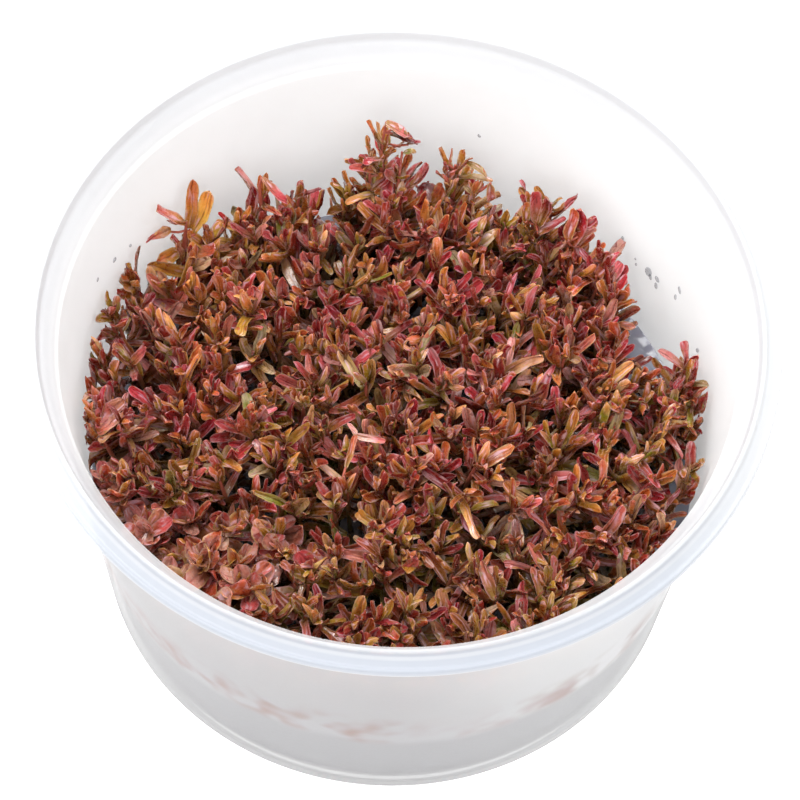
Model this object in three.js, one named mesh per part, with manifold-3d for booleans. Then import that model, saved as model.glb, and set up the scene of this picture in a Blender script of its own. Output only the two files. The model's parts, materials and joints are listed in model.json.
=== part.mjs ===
// A small plastic culture cup of red rotala: an open cup with a turned-out rim, a slab of clear
// growing gel in its bottom, and a bed of leafy clumps, each planted in its own pocket in the gel.
// Millimetres, +Z up, origin at the middle of the cup's foot.
import * as THREE from "three";
import Module from "manifold-3d";
import { mergeVertices } from "three/addons/utils/BufferGeometryUtils.js";

const wasm = await Module();
wasm.setup();

// Driving sizes of the cup
const cupHeight = 57;
const rimRadius = 50;
const wallThickness = 0.8;
const wallTopRadius = 45.4; // outside, just under the shoulder
const wallFootRadius = 41.2; // outside, just above the foot
const shoulderHeight = 52.2; // where the tapered wall steps out to the rim
const footRound = 1.1;
const footRingWidth = 2.2;
const footRecess = 0.9; // the middle of the base is raised by this
const cupSides = 48;

// The gel
const gelDepth = 19.2;
const clearance = 0.3; // between pieces that touch
const floorHeight = footRecess + wallThickness;
const gelBottom = floorHeight + clearance;
const gelTop = gelBottom + gelDepth;

// The bed of plants
const clumpCount = 51;
const bedRadius = 35.6; // of the outermost stems, at the gel
const bedCentre = { x: -1.2, y: -1.7 };
const stemJitter = 0.8;
const bedFlare = 0.0035; // the bed spreads by this share for each millimetre above the gel
const bedTop = 38; // height of an ordinary clump's leaf tips
const bedUnevenness = 2.4;
const plantingDepth = 4;
const stemHalfWidth = 0.75;
const budHeight = 2.4;
const crownHeight = 3; // of the top leaves above the bud
const leafReach = 7.2;
const leafWidth = 4.2;
const leafThickness = 0.5;
const ordinaryPairs = 5; // of leaves on a stem
const tallStep = 4; // a stem this much taller has one pair more

// Places at the gel's surface where it shows bare
const barePatches = [
  { x: 33, y: 16, reach: 4.5 },
  { x: -18, y: 32, reach: 4.5 },
];

// Taller shoots that stand out of the bed: place and height of the leaf tips, and how far the rise spreads
const tallShoots = [
  { x: -4.5, y: 38, tip: 48.5, reach: 8 },
  { x: 6.5, y: 36.5, tip: 45, reach: 8 },
  { x: -20.5, y: 33, tip: 42, reach: 6 },
  { x: -30, y: 29.5, tip: 43.5, reach: 7 },
  { x: -35, y: 22, tip: 41, reach: 8 },
  { x: 20.5, y: 33.5, tip: 41.5, reach: 7 },
  { x: 28, y: 27, tip: 40.5, reach: 7 },
  { x: 40.5, y: 7.5, tip: 39, reach: 4 },
  { x: -40, y: 5, tip: 38.5, reach: 9 },
];

const cupPlastic = new THREE.MeshStandardMaterial({
  color: 0xe6e9ef,
  roughness: 0.35,
  metalness: 0,
  transparent: true,
  opacity: 0.5,
});
const growingGel = new THREE.MeshStandardMaterial({
  color: 0xa6a4bd,
  roughness: 0.15,
  metalness: 0,
  transparent: true,
  opacity: 0.7,
});
const leafColours = { rose: 0xa9525c, crimson: 0x8c2f33, amber: 0xb8703a, bronze: 0x86522f };

// A repeatable number from -1 to 1 for an item and a purpose
function vary(item, purpose) {
  const wave = Math.sin(item * 12.9898 + purpose * 78.233) * 43758.5453;
  return 2 * (wave - Math.floor(wave)) - 1;
}

function mix(a, b, share) {
  return a + (b - a) * share;
}

function wallRadiusAt(z) {
  return mix(wallFootRadius, wallTopRadius, (z - footRound) / (shoulderHeight - footRound));
}

// A solid of revolution about Z, from [radius, height] points that start and end on the axis
function turned(points) {
  const outline = points.map(([r, z]) => new THREE.Vector2(r, z));
  return new THREE.LatheGeometry(outline, cupSides).rotateX(Math.PI / 2);
}

// The cup: a recessed foot, a tapered wall, a shoulder, an upright band, and a rim that turns out and down
function cupGeometry() {
  const footOuter = wallFootRadius - footRound;
  const footInner = footOuter - footRingWidth;
  const wallTopInner = wallTopRadius - wallThickness;
  const bandInner = 46.1;
  const crestInner = 47.1;
  const crestWidth = 0.8;
  const rimEdgeHeight = cupHeight - 1.6;
  const rimEdgeDepth = 0.7;
  const outside = [
    [0, footRecess],
    [footInner - 0.5, footRecess],
    [footInner, 0],
    [footOuter, 0],
    [wallFootRadius - 0.3, footRound * 0.35],
    [wallFootRadius, footRound],
    [wallTopRadius, shoulderHeight - 0.6],
    [bandInner + wallThickness, shoulderHeight + 0.3],
    [crestInner + 0.2, cupHeight - 1.4],
    [rimRadius - 0.6, rimEdgeHeight - rimEdgeDepth],
    [rimRadius, rimEdgeHeight - rimEdgeDepth + 0.2],
    [rimRadius, rimEdgeHeight],
  ];
  const inside = [
    [rimRadius - 0.8, cupHeight - 0.7],
    [crestInner + crestWidth, cupHeight],
    [crestInner, cupHeight],
    [bandInner, cupHeight - 1],
    [bandInner, shoulderHeight + 1],
    [wallTopInner, shoulderHeight],
    [wallRadiusAt(floorHeight + 1) - wallThickness, floorHeight + 1],
    [wallFootRadius - wallThickness - 0.9, floorHeight],
    [0, floorHeight],
  ];
  return turned([...outside, ...inside]);
}

// How far the bed has spread at a height, against its size at the gel's surface
function spreadAt(z) {
  return 1 + bedFlare * (z - gelTop);
}

// A first spiral of stems, the nearest of them taken for each tall shoot
function spiralOfStems() {
  const goldenAngle = Math.PI * (3 - Math.sqrt(5));
  const stems = [];
  for (let i = 0; i < clumpCount; i++) {
    const radius = bedRadius * Math.sqrt((i + 0.6) / clumpCount);
    const x = bedCentre.x + radius * Math.cos(i * goldenAngle) + stemJitter * vary(i, 1);
    const y = bedCentre.y + radius * Math.sin(i * goldenAngle) + stemJitter * vary(i, 2);
    stems.push({ x, y, tip: bedTop + bedUnevenness * vary(i, 3), held: false });
  }
  for (const tall of tallShoots) {
    const foot = { x: tall.x / spreadAt(tall.tip), y: tall.y / spreadAt(tall.tip) };
    const gap = (stem) => Math.hypot(stem.x - foot.x, stem.y - foot.y);
    const free = stems.filter((stem) => !stem.held);
    const nearest = free.reduce((best, stem) => (gap(stem) < gap(best) ? stem : best));
    Object.assign(nearest, foot, { tip: tall.tip, held: true });
  }
  return stems;
}

// Moves a stem off a circle of the given reach around a place, by a share of what is lacking
function pushAway(stem, place, reach, share) {
  const dx = stem.x - place.x;
  const dy = stem.y - place.y;
  const apart = Math.hypot(dx, dy);
  const push = (share * Math.max(0, reach - apart)) / apart;
  stem.x += dx * push;
  stem.y += dy * push;
}

// Stem places at the gel, eased apart until they fill the bed evenly around the bare patches
function plantSites() {
  const stems = spiralOfStems();
  const spacing = 1.08 * bedRadius * Math.sqrt(Math.PI / clumpCount);
  const rounds = 60;
  for (let round = 0; round < rounds; round++) {
    for (const stem of stems.filter((one) => !one.held)) {
      for (const other of stems) if (other !== stem) pushAway(stem, other, spacing, 0.3);
      for (const patch of barePatches) pushAway(stem, patch, patch.reach, 1);
      const fromCentre = Math.hypot(stem.x - bedCentre.x, stem.y - bedCentre.y);
      const share = Math.min(1, bedRadius / fromCentre);
      stem.x = mix(bedCentre.x, stem.x, share);
      stem.y = mix(bedCentre.y, stem.y, share);
    }
  }
  for (const tall of tallShoots) {
    for (const stem of stems.filter((one) => !one.held)) {
      const apart = Math.hypot(stem.x * spreadAt(stem.tip) - tall.x, stem.y * spreadAt(stem.tip) - tall.y);
      const lift = Math.exp(-((apart / tall.reach) ** 2));
      stem.tip = Math.max(stem.tip, mix(stem.tip, tall.tip, 0.6 * lift));
    }
  }
  return stems;
}

const sites = plantSites();

// Whether a point keeps to its clump's own share of the bed, clear of the neighbours and of the wall
function isFree(site, point) {
  const spread = spreadAt(point.z);
  const u = point.x / spread - site.x;
  const v = point.y / spread - site.y;
  const toWall = wallRadiusAt(point.z) - wallThickness - clearance;
  if (Math.hypot(point.x, point.y) > toWall - 0.2) return false;
  return sites.every((other) => {
    if (other === site) return true;
    const dx = other.x - site.x;
    const dy = other.y - site.y;
    const apart = Math.hypot(dx, dy);
    return (u * dx + v * dy) / apart < (apart - clearance) / 2;
  });
}

// The stem's middle line, which follows the bed's spread
function stemAt(site, z) {
  return new THREE.Vector3(site.x * spreadAt(z), site.y * spreadAt(z), z);
}

// The lowest pair of leaves stands at this height, and below it the stem is upright
function leafyFrom(site) {
  return mix(gelTop, site.tip, 0.17);
}

function budTip(site) {
  return site.tip - crownHeight;
}

function footAt(site) {
  return stemAt(site, leafyFrom(site)).setZ(gelTop - plantingDepth);
}

function turnOf(index) {
  return vary(index, 5) * Math.PI;
}

// A leaf's free points: its two edges and ridge at the widest place, then its tip
function leafPoints(stem, angle, size, rise) {
  const outward = new THREE.Vector3(Math.cos(angle), Math.sin(angle), 0);
  const across = new THREE.Vector3(-outward.y, outward.x, 0);
  const half = (leafWidth / 2) * Math.min(1, size / leafReach + 0.15);
  const place = (along, side, height) => {
    const lift = new THREE.Vector3(0, 0, height);
    return stem.clone().addScaledVector(outward, along).addScaledVector(across, side).add(lift);
  };
  return [
    place(size * 0.6, -half, rise * 0.7),
    place(size * 0.6, half, rise * 0.7),
    place(size * 0.62, 0, rise * 0.7 + leafThickness),
    place(size, 0, rise),
  ];
}

// A clump: a square stem in one skin with its opposite pairs of leaves, each pair turned from the last
function clumpGeometry(site, index) {
  const vertices = [];
  const faces = [];
  const put = (point) => {
    vertices.push(point.x, point.y, point.z);
    return vertices.length / 3 - 1;
  };
  const pairs = ordinaryPairs + Math.max(0, Math.floor((site.tip - bedTop - bedUnevenness) / tallStep));
  const heights = [gelTop - plantingDepth];
  for (let k = 0; k <= pairs; k++) {
    heights.push(mix(leafyFrom(site), budTip(site) - budHeight, k / pairs));
  }
  const rings = heights.map((z, k) => {
    const corner = stemHalfWidth * Math.SQRT2 * mix(1, 0.75, k / (pairs + 1));
    const centre = k === 0 ? footAt(site) : stemAt(site, z);
    return [0, 1, 2, 3].map((side) => {
      const angle = turnOf(index) + ((side - 0.5) * Math.PI) / 2;
      return put(new THREE.Vector3(corner * Math.cos(angle), corner * Math.sin(angle), 0).add(centre));
    });
  });
  const [foot] = rings;
  faces.push(foot[3], foot[2], foot[1], foot[3], foot[1], foot[0]);
  for (let level = 0; level <= pairs; level++) {
    for (let side = 0; side < 4; side++) {
      const next = (side + 1) % 4;
      const [a, b] = [rings[level][side], rings[level][next]];
      const [c, d] = [rings[level + 1][next], rings[level + 1][side]];
      const bearsLeaf = level > 0 && side % 2 === level % 2;
      if (!bearsLeaf) {
        faces.push(a, b, c, a, c, d);
        continue;
      }
      const item = index * 16 + level * 4 + side;
      const angle = turnOf(index) + (side * Math.PI) / 2 + 0.5 * vary(item, 6);
      const stem = stemAt(site, mix(heights[level], heights[level + 1], 0.5));
      const rise = leafReach * mix(0.25, 0.95, level / pairs);
      let size = leafReach * (1 + 0.15 * vary(item, 7));
      let points = leafPoints(stem, angle, size, rise);
      while (size > 1.5 && !points.every((p) => isFree(site, p))) {
        size *= 0.95;
        points = leafPoints(stem, angle, size, rise);
      }
      const [left, right, ridge, tip] = points.map(put);
      faces.push(a, b, right, a, right, left, b, c, right, d, a, left);
      faces.push(c, d, ridge, c, ridge, right, d, left, ridge);
      faces.push(left, right, tip, right, ridge, tip, ridge, left, tip);
    }
  }
  const top = rings[pairs + 1];
  const bud = put(stemAt(site, budTip(site)));
  for (let side = 0; side < 4; side++) faces.push(top[side], top[(side + 1) % 4], bud);
  const geometry = new THREE.BufferGeometry();
  geometry.setAttribute("position", new THREE.Float32BufferAttribute(vertices, 3));
  geometry.setIndex(faces);
  geometry.computeVertexNormals();
  return geometry;
}

function toSolid(geometry) {
  const bare = geometry.clone();
  bare.deleteAttribute("normal");
  bare.deleteAttribute("uv");
  const merged = mergeVertices(bare, 1e-4);
  const vertProperties = merged.attributes.position.array;
  const triVerts = new Uint32Array(merged.index.array);
  return new wasm.Manifold(new wasm.Mesh({ numProp: 3, vertProperties, triVerts }));
}

function toGeometry(solid) {
  const mesh = solid.getMesh();
  const geometry = new THREE.BufferGeometry();
  geometry.setAttribute("position", new THREE.BufferAttribute(mesh.vertProperties, 3));
  geometry.setIndex(new THREE.BufferAttribute(mesh.triVerts, 1));
  geometry.computeVertexNormals();
  return geometry;
}

// The gel: a slab that fills the cup's bottom, with one pocket for each clump's stem
function gelGeometry() {
  const inset = wallThickness + clearance;
  const bottomRound = 1.2;
  const slab = turned([
    [0, gelBottom],
    [wallRadiusAt(gelBottom) - inset - bottomRound / 2, gelBottom],
    [wallRadiusAt(gelBottom + bottomRound) - inset, gelBottom + bottomRound],
    [wallRadiusAt(gelTop) - inset, gelTop],
    [0, gelTop],
  ]);
  const pocketWidth = 2 * (stemHalfWidth + clearance);
  const pocketDepth = plantingDepth + clearance;
  const aboveGel = 1;
  let gel = toSolid(slab);
  sites.forEach((site, index) => {
    const foot = footAt(site);
    const pocket = new THREE.BoxGeometry(pocketWidth, pocketWidth, pocketDepth + aboveGel);
    pocket.rotateZ(turnOf(index));
    pocket.translate(foot.x, foot.y, gelTop + (aboveGel - pocketDepth) / 2);
    gel = gel.subtract(toSolid(pocket));
  });
  return toGeometry(gel);
}

// The broad leaves at the front left are crimson, those by the left wall amber, and the rest mixed
function leafColourOf(site, index) {
  if (site.x < -14 && site.y < -14) return "crimson";
  if (site.x < -20 && site.y > 10) return "amber";
  return ["rose", "bronze", "crimson"][index % 3];
}

function part(name, geometry, material) {
  const mesh = new THREE.Mesh(geometry, material);
  mesh.name = name;
  return mesh;
}

const pottedRotala = new THREE.Group();
pottedRotala.add(part("cup", cupGeometry(), cupPlastic));
pottedRotala.add(part("culture_gel", gelGeometry(), growingGel));
sites.forEach((site, index) => {
  const color = leafColours[leafColourOf(site, index)];
  const leaf = new THREE.MeshStandardMaterial({ color, roughness: 0.4, metalness: 0 });
  const name = "clump_" + String(index + 1).padStart(2, "0");
  pottedRotala.add(part(name, clumpGeometry(site, index), leaf));
});

export default pottedRotala;
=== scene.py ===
import json
import math
import random

import bmesh
import bpy
import numpy as np
from mathutils import Matrix, Vector

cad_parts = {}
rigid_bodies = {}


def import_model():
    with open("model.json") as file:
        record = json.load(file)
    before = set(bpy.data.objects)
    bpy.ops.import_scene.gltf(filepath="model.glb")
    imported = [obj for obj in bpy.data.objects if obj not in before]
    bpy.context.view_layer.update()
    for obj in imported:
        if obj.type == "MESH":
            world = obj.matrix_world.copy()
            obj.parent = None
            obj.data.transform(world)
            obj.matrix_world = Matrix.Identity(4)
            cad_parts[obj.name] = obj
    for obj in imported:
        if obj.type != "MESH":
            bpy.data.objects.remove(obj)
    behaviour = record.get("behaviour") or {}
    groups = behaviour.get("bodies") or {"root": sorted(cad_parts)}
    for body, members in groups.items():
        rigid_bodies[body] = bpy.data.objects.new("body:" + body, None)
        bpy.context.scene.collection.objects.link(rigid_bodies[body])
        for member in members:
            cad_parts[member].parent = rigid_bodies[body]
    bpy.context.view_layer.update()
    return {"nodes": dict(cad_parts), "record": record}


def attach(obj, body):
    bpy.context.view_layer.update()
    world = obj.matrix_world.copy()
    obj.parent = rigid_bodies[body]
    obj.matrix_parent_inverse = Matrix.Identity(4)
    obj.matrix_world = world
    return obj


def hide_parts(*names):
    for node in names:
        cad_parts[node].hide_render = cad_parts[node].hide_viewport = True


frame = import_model()

mm = 0.001
scene = bpy.context.scene
slotOfNode = {part["node"]: part["material_slot"] for part in frame["record"]["subparts"]}
print("frame loaded,", len(frame["nodes"]), "pieces")


# the node helper, for materials and for geometry trees alike

def pickSocket(sockets, key):
    if isinstance(key, int):
        return sockets[key]
    exact = [s for s in sockets if s.identifier == key and s.enabled]
    return (exact or [s for s in sockets if s.name == key and s.enabled])[0]


class Wire:
    def __init__(self, tree, socket=None):
        self.tree, self.socket = tree, socket

    def node(self, kind, settings=None, inputs=None, output=0):
        made = self.tree.nodes.new(kind)
        for name, value in (settings or {}).items():
            if name == "stops":
                setStops(made.color_ramp, value)
            else:
                setattr(made, name, value)
        for key, value in (inputs or {}).items():
            socket = pickSocket(made.inputs, key)
            if isinstance(value, Wire):
                self.tree.links.new(value.socket, socket)
            else:
                socket.default_value = value
        return Wire(self.tree, pickSocket(made.outputs, output))

    def other(self, output):
        return Wire(self.tree, pickSocket(self.socket.node.outputs, output))

    def math(self, operation, *values):
        return self.node("ShaderNodeMath", {"operation": operation}, dict(enumerate(values)))

    def vector(self, operation, *values, output=0):
        return self.node("ShaderNodeVectorMath", {"operation": operation}, dict(enumerate(values)), output)

    def __add__(self, other):
        return self.math("ADD", self, other)

    def __sub__(self, other):
        return self.math("SUBTRACT", self, other)

    def __rsub__(self, other):
        return self.math("SUBTRACT", other, self)

    def __mul__(self, other):
        return self.math("MULTIPLY", self, other)

    def __truediv__(self, other):
        return self.math("DIVIDE", self, other)

    def __rtruediv__(self, other):
        return self.math("DIVIDE", other, self)

    def __pow__(self, other):
        return self.math("POWER", self, other)

    __radd__, __rmul__ = __add__, __mul__


def setStops(ramp, stops):
    while len(ramp.elements) > 1:
        ramp.elements.remove(ramp.elements[-1])
    ramp.elements[0].position, ramp.elements[0].color = stops[0]
    for place, colour in stops[1:]:
        ramp.elements.new(place).color = colour


def stepUp(wire, value, low, high):
    return wire.node("ShaderNodeMapRange", {"interpolation_type": "SMOOTHSTEP"},
                     {"Value": value, "From Min": low, "From Max": high, "To Min": 0.0, "To Max": 1.0})


def coordinates(wire, place):
    x = wire.node("ShaderNodeSeparateXYZ", {}, {0: place})
    return x, x.other("Y"), x.other("Z")


def combined(wire, *values):
    return wire.node("ShaderNodeCombineXYZ", {}, dict(enumerate(values)))


def fromAxis(wire, x, y):
    return wire.math("SQRT", x * x + y * y)


# materials

def tone(red, green, blue):
    # picked on a screen, turned to light values
    screen = [v / 255 for v in (red, green, blue)]
    return tuple(v / 12.92 if v < 0.041 else ((v + 0.055) / 1.055) ** 2.4 for v in screen) + (1.0,)


def newMaterial(name):
    material = bpy.data.materials.new(name)
    material.use_nodes = True
    tree = material.node_tree
    shader = next(n for n in tree.nodes if n.type == "BSDF_PRINCIPLED")
    return material, Wire(tree), shader


def feed(wire, shader, sockets):
    for name, value in sockets.items():
        if isinstance(value, Wire):
            wire.tree.links.new(value.socket, shader.inputs[name])
        else:
            shader.inputs[name].default_value = value


def attribute(wire, name):
    return wire.node("ShaderNodeAttribute", {"attribute_name": name}, output="Fac")


def mixed(wire, factor, first, second, blend="MIX"):
    return wire.node("ShaderNodeMix", {"data_type": "RGBA", "blend_type": blend},
                     {"Factor_Float": factor, "A_Color": first, "B_Color": second}, "Result_Color")


def ramp(wire, factor, rows):
    # each row is a place on the ramp and a colour
    stops = [(place, tone(*colour)) for place, *colour in rows]
    return wire.node("ShaderNodeValToRGB", {"stops": stops}, {"Fac": factor})


def noise(wire, place, scale, detail=2.0, roughness=0.5):
    return wire.node("ShaderNodeTexNoise", {}, {
        "Vector": place, "Scale": scale, "Detail": detail, "Roughness": roughness}, "Fac")


def objectPlace(wire):
    return wire.node("ShaderNodeTexCoord", output="Object")


def bumped(wire, height, strength, distance):
    return wire.node("ShaderNodeBump", {}, {"Strength": strength, "Distance": distance, "Height": height})


leafLooks = {
    # colours of the upper and lower skins by chance, near the foot of a leaf, and of the old leaves, which also serve
    # as painted shade low in the bed
    "rose_leaf": {
        "upper": [(0.0, 140, 24, 40), (0.1, 174, 38, 54), (0.22, 212, 66, 80), (0.34, 226, 100, 106),
                  (0.45, 236, 134, 134), (0.53, 246, 196, 190), (0.6, 206, 84, 66), (0.67, 186, 96, 42),
                  (0.76, 234, 164, 78), (0.84, 182, 140, 46), (0.91, 246, 222, 192), (1.0, 146, 150, 46)],
        "under": [(0.0, 136, 34, 34), (0.25, 188, 70, 58), (0.5, 216, 116, 68), (0.68, 204, 144, 54),
                  (0.84, 132, 126, 34), (1.0, 234, 192, 136)],
        "foot": tone(146, 116, 34), "oldLeafAndShade": tone(86, 46, 12)},
    "crimson_leaf": {
        "upper": [(0.0, 136, 18, 36), (0.16, 184, 40, 58), (0.34, 214, 72, 82), (0.47, 230, 112, 114),
                  (0.56, 244, 184, 172), (0.66, 204, 80, 62), (0.76, 186, 92, 42), (0.88, 230, 152, 74),
                  (1.0, 244, 214, 182)],
        "under": [(0.0, 134, 28, 34), (0.3, 188, 64, 54), (0.55, 214, 110, 62), (0.78, 212, 146, 58),
                  (1.0, 148, 130, 38)],
        "foot": tone(148, 96, 34), "oldLeafAndShade": tone(86, 38, 12)},
    "amber_leaf": {
        "upper": [(0.0, 166, 38, 38), (0.15, 206, 70, 66), (0.3, 226, 112, 108), (0.42, 236, 148, 140),
                  (0.52, 214, 106, 62), (0.66, 232, 152, 68), (0.82, 238, 190, 84), (0.9, 236, 164, 152),
                  (1.0, 246, 218, 160)],
        "under": [(0.0, 168, 66, 38), (0.35, 218, 124, 60), (0.7, 236, 172, 74), (1.0, 202, 176, 64)],
        "foot": tone(186, 144, 52), "oldLeafAndShade": tone(98, 58, 16)},
    "bronze_leaf": {
        "upper": [(0.0, 136, 24, 40), (0.13, 182, 50, 64), (0.26, 208, 86, 92), (0.38, 226, 126, 124),
                  (0.48, 198, 88, 60), (0.58, 180, 118, 46), (0.7, 150, 130, 40), (0.8, 232, 166, 76),
                  (0.9, 236, 202, 146), (1.0, 138, 152, 50)],
        "under": [(0.0, 130, 46, 30), (0.28, 182, 92, 44), (0.52, 206, 136, 56), (0.74, 166, 142, 40),
                  (0.9, 112, 118, 32), (1.0, 230, 194, 130)],
        "foot": tone(140, 120, 34), "oldLeafAndShade": tone(74, 56, 10)},
}
leafPaint = {
    # laid over the colours of every finish: the colour, its share, and the two values between which it grows
    "skinSplit": (0.49, 0.53), "warmTint": (0.5, 0.6),
    "footShare": 0.74, "oldFootShare": 0.12, "footAlong": (0.05, 0.72),
    "tipRose": tone(206, 48, 66), "tipAmber": tone(226, 112, 52), "tipShare": 0.45, "tipAlong": (0.7, 1.15),
    "moss": tone(150, 146, 46), "mossShare": 0.4, "mossFront": (-34 * mm, -2 * mm), "mossLuck": (0.5, 0.7),
    "paleStreakAndHighlight": tone(246, 204, 222), "paleShare": 0.7, "paleBetween": (0.54, 0.72),
    "darkStreak": tone(94, 26, 10), "darkShare": 0.55, "darkBetween": (0.32, 0.5),
    "midrib": tone(92, 20, 34), "midribShare": 0.3, "midribAcross": (0.02, 0.14),
    "rimRoseAndHighlight": tone(238, 172, 182), "rimAmberAndHighlight": tone(232, 190, 120), "rimShare": 0.5, "rimAcross": (0.74, 0.98),
    "oldLeafAndShadeGreen": tone(78, 86, 18), "greenFront": (-32 * mm, 2 * mm), "greenBetween": (0.5, 0.62),
    "paintedShadeShare": 0.66, "paintedShadeHeight": (23.5 * mm, 34.0 * mm), "oldShare": 0.2, "oldAge": (0.3, 0.9),
    "dull": tone(172, 158, 134), "bright": tone(255, 249, 252), "luckShare": 0.85,
}


def leafMaterial(name, look):
    material, wire, shader = newMaterial(name)
    paint = leafPaint
    cross, along = attribute(wire, "leafAcross"), attribute(wire, "leafAlong")    # cross is -1 and 1 at the rims
    tint, luck, age = attribute(wire, "leafTint"), attribute(wire, "leafLuck"), attribute(wire, "leafAge")
    across = wire.math("ABSOLUTE", cross)
    top = stepUp(wire, attribute(wire, "leafSide"), *paint["skinSplit"])
    warm = stepUp(wire, tint, *paint["warmTint"])
    place = objectPlace(wire)
    _, y, z = coordinates(wire, place)
    blotch = noise(wire, place, 420.0, 2.0, 0.6)
    crinkle = noise(wire, place, 1500.0, 1.0)
    own = combined(wire, cross * 0.8 + top * 3.0, along * 0.8, luck * 60)    # no two leaves share their streaks
    streak = noise(wire, own, 2.8, 1.5, 0.5)
    skin = mixed(wire, top, ramp(wire, luck + (blotch - 0.5) * 0.4, look["under"]),
                 ramp(wire, tint + (blotch - 0.5) * 0.22, look["upper"]))
    foot = (1 - stepUp(wire, along, *paint["footAlong"])) * paint["footShare"] + age * paint["oldFootShare"]
    skin = mixed(wire, foot, skin, look["foot"])
    tip = stepUp(wire, along + (luck - 0.5) * 0.7, *paint["tipAlong"]) * paint["tipShare"]
    skin = mixed(wire, tip, skin, mixed(wire, warm, paint["tipRose"], paint["tipAmber"]))
    mossy = (1 - stepUp(wire, y, *paint["mossFront"])) * stepUp(wire, luck, *paint["mossLuck"])
    skin = mixed(wire, mossy * paint["mossShare"], skin, paint["moss"])    # the front is greener
    # pale streaks along each leaf: partly its own streaks, partly a painted highlight
    pale = stepUp(wire, streak, *paint["paleBetween"]) * paint["paleShare"]
    skin = mixed(wire, pale, skin, paint["paleStreakAndHighlight"])
    dark = (1 - stepUp(wire, streak, *paint["darkBetween"])) * paint["darkShare"]
    skin = mixed(wire, dark, skin, paint["darkStreak"])
    midrib = (1 - stepUp(wire, across, *paint["midribAcross"])) * top * paint["midribShare"]
    skin = mixed(wire, midrib, skin, paint["midrib"])
    # paler rims: partly the leaf's own paler margin, partly a painted highlight along the edges
    rim = stepUp(wire, across + (crinkle - 0.5) * 0.5, *paint["rimAcross"]) * paint["rimShare"]
    skin = mixed(wire, rim, skin, mixed(wire, warm, paint["rimRoseAndHighlight"], paint["rimAmberAndHighlight"]))
    # old pairs go brown, or green; low in the bed the same colours are painted over the leaves as shade, stronger the
    # lower they sit
    green = noise(wire, place, 70.0, 1.0) + (1 - stepUp(wire, y, *paint["greenFront"])) * 0.1
    oldLeafAndShade = mixed(wire, stepUp(wire, green, *paint["greenBetween"]), look["oldLeafAndShade"], paint["oldLeafAndShadeGreen"])
    low = (1 - stepUp(wire, z, *paint["paintedShadeHeight"])) * paint["paintedShadeShare"]
    skin = mixed(wire, low + stepUp(wire, age, *paint["oldAge"]) * paint["oldShare"], skin, oldLeafAndShade)
    skin = mixed(wire, paint["luckShare"], skin, mixed(wire, luck, paint["dull"], paint["bright"]), "MULTIPLY")
    feed(wire, shader, {
        "Base Color": skin, "Roughness": 0.16 + crinkle * 0.24,
        "Normal": bumped(wire, streak + crinkle * 0.5, 0.7, 0.16 * mm),
        "Subsurface Weight": 0.25, "Subsurface Radius": (1.0, 0.42, 0.25), "Subsurface Scale": 0.7 * mm,
        "Specular IOR Level": 0.75})
    return material


stemPaint = {
    "low": [(0.0, 96, 110, 40), (1.0, 140, 96, 60)], "high": [(0.0, 150, 66, 54), (1.0, 196, 112, 92)],
    "redder": (24 * mm, 34 * mm),    # between these heights
}


def stemMaterial():
    material, wire, shader = newMaterial("rotalaStemSkin")
    place = objectPlace(wire)
    grain = noise(wire, place, 900.0, 3.0)
    redder = stepUp(wire, coordinates(wire, place)[2], *stemPaint["redder"])
    skin = mixed(wire, redder, ramp(wire, grain, stemPaint["low"]), ramp(wire, grain, stemPaint["high"]))
    feed(wire, shader, {
        "Base Color": skin, "Roughness": 0.36 + grain * 0.2, "Normal": bumped(wire, grain, 0.3, 0.08 * mm),
        "Subsurface Weight": 0.3, "Subsurface Radius": (1.0, 0.5, 0.3), "Subsurface Scale": 0.8 * mm})
    return material


cupPaint = {
    "frost": [(0.0, 247, 248, 248), (1.0, 252, 253, 253)],
    "alpha": 0.41, "outsideAlpha": 0.19, "crestAlpha": 0.26, "footAlpha": 0.18, "hazeAlpha": 0.08,
    "crest": (51.8 * mm, 54.5 * mm), "foot": (2.6 * mm, 3.8 * mm),
    "outside": (40.6 * mm, 40.9 * mm), "lean": 0.0822,    # radius of the outer skin at the table, and its slope
    "leftPaintedShade": tone(172, 170, 172), "rightPaintedShade": tone(212, 212, 213), "shadeX": (0.0, 36 * mm),
    "gelShadeGrey": tone(154, 153, 154), "gelShare": 0.7, "gelLine": (18.0 * mm, 21.0 * mm), "gelWave": 5.0 * mm,
    "leafBrown": tone(136, 110, 92), "leafPink": tone(158, 110, 102), "leafShare": 0.8,
    "leafTop": (23.0 * mm, 30.0 * mm), "leafLeft": (-6 * mm, 12 * mm), "leafFront": (-34 * mm, -14 * mm),
    "leafNear": (0.44, 0.62), "leafPatch": (0.36, 0.7),
    "rimBack": tone(196, 197, 199), "rimFrontShade": tone(178, 183, 192), "rimY": (10 * mm, 44 * mm),
    "beadHighlightTone": tone(198, 200, 204), "beadTop": (56.7 * mm, 56.95 * mm),
    "beadFoot": (48.0 * mm, 48.15 * mm), "beadEnd": (48.3 * mm, 48.6 * mm),
    "lipEdge": (49.5 * mm, 49.9 * mm), "lipTop": (54.9 * mm, 55.1 * mm),
    "innerRimShade": tone(206, 207, 210), "innerRim": (47.3 * mm, 47.5 * mm),
}


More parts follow.
